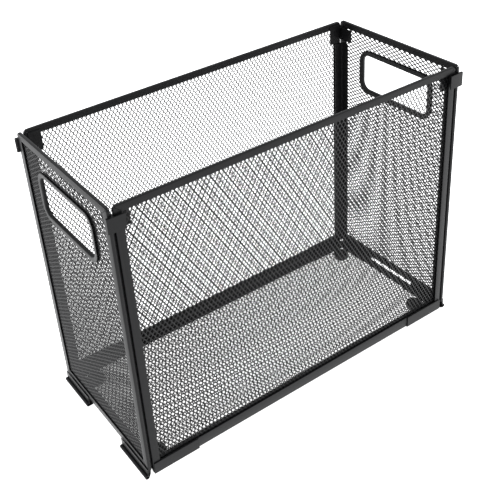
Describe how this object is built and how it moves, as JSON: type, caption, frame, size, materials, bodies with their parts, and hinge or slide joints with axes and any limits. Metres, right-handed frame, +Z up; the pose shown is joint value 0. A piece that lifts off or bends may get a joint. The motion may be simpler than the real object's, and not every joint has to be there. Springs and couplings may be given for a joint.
{
  "type": "hanging file rack",
  "caption": "Open-topped knock-down desk rack of framed expanded-metal panels, with hand holes in lift-out end walls that carry hanging folders.",
  "frame": {"origin": "centre of the rack's footprint on the desk, at the lowest point of the feet", "axes": "+X along the rack to the right end wall, +Y to the back long wall, so the front faces -Y; +Z up"},
  "size_m": [0.3264, 0.1452, 0.248],
  "materials": {
    "folded_rail": "satin black powder coat on steel, folded channels",
    "expanded_metal": "satin black powder coat on steel, expanded-metal mesh",
    "folded_fitting": "satin black powder coat on steel, hooks, gussets, flanges and tabs",
    "handle_rim": "satin black powder coat on steel, rims of the hand holes",
    "clip_steel": "satin black powder coat on steel, pressed clips under the tray",
    "rubber_foot": "matt black rubber"
  },
  "bodies": {
    "base": {"back_left_side_clip": "clip_steel", "back_right_side_clip": "clip_steel", "back_wall_bottom_rail": "folded_rail", "back_wall_left_corner_flange": "folded_fitting", "back_wall_left_gusset": "folded_fitting", "back_wall_left_stile": "folded_rail", "back_wall_mesh": "expanded_metal", "back_wall_right_corner_flange": "folded_fitting", "back_wall_right_gusset": "folded_fitting", "back_wall_right_stile": "folded_rail", "back_wall_top_rail": "folded_rail", "front_left_side_clip": "clip_steel", "front_right_side_clip": "clip_steel", "front_wall_bottom_rail": "folded_rail", "front_wall_left_corner_flange": "folded_fitting", "front_wall_left_gusset": "folded_fitting", "front_wall_left_stile": "folded_rail", "front_wall_mesh": "expanded_metal", "front_wall_right_corner_flange": "folded_fitting", "front_wall_right_gusset": "folded_fitting", "front_wall_right_stile": "folded_rail", "front_wall_top_rail": "folded_rail", "left_back_end_clip": "clip_steel", "left_back_foot": "rubber_foot", "left_front_end_clip": "clip_steel", "left_front_foot": "rubber_foot", "right_back_end_clip": "clip_steel", "right_back_foot": "rubber_foot", "right_front_end_clip": "clip_steel", "right_front_foot": "rubber_foot", "tray_back_rail": "folded_rail", "tray_front_rail": "folded_rail", "tray_left_rail": "folded_rail", "tray_mesh": "expanded_metal", "tray_right_rail": "folded_rail"},
    "left_end": {"left_end_back_corner_hook": "folded_fitting", "left_end_back_stile": "folded_rail", "left_end_back_tab": "folded_fitting", "left_end_bottom_rail": "folded_rail", "left_end_front_corner_hook": "folded_fitting", "left_end_front_stile": "folded_rail", "left_end_front_tab": "folded_fitting", "left_end_handle_rim": "handle_rim", "left_end_mesh": "expanded_metal", "left_end_top_rail": "folded_rail"},
    "right_end": {"right_end_back_corner_hook": "folded_fitting", "right_end_back_stile": "folded_rail", "right_end_back_tab": "folded_fitting", "right_end_bottom_rail": "folded_rail", "right_end_front_corner_hook": "folded_fitting", "right_end_front_stile": "folded_rail", "right_end_front_tab": "folded_fitting", "right_end_handle_rim": "handle_rim", "right_end_mesh": "expanded_metal", "right_end_top_rail": "folded_rail"}
  },
  "joints": [
    {"name": "left_end_lift", "type": "slide", "parent": "base", "child": "left_end", "axis": [0, 0, 1], "range_m": [0, 0.26]},
    {"name": "right_end_lift", "type": "slide", "parent": "base", "child": "right_end", "axis": [0, 0, 1], "range_m": [0, 0.26]}
  ]
}
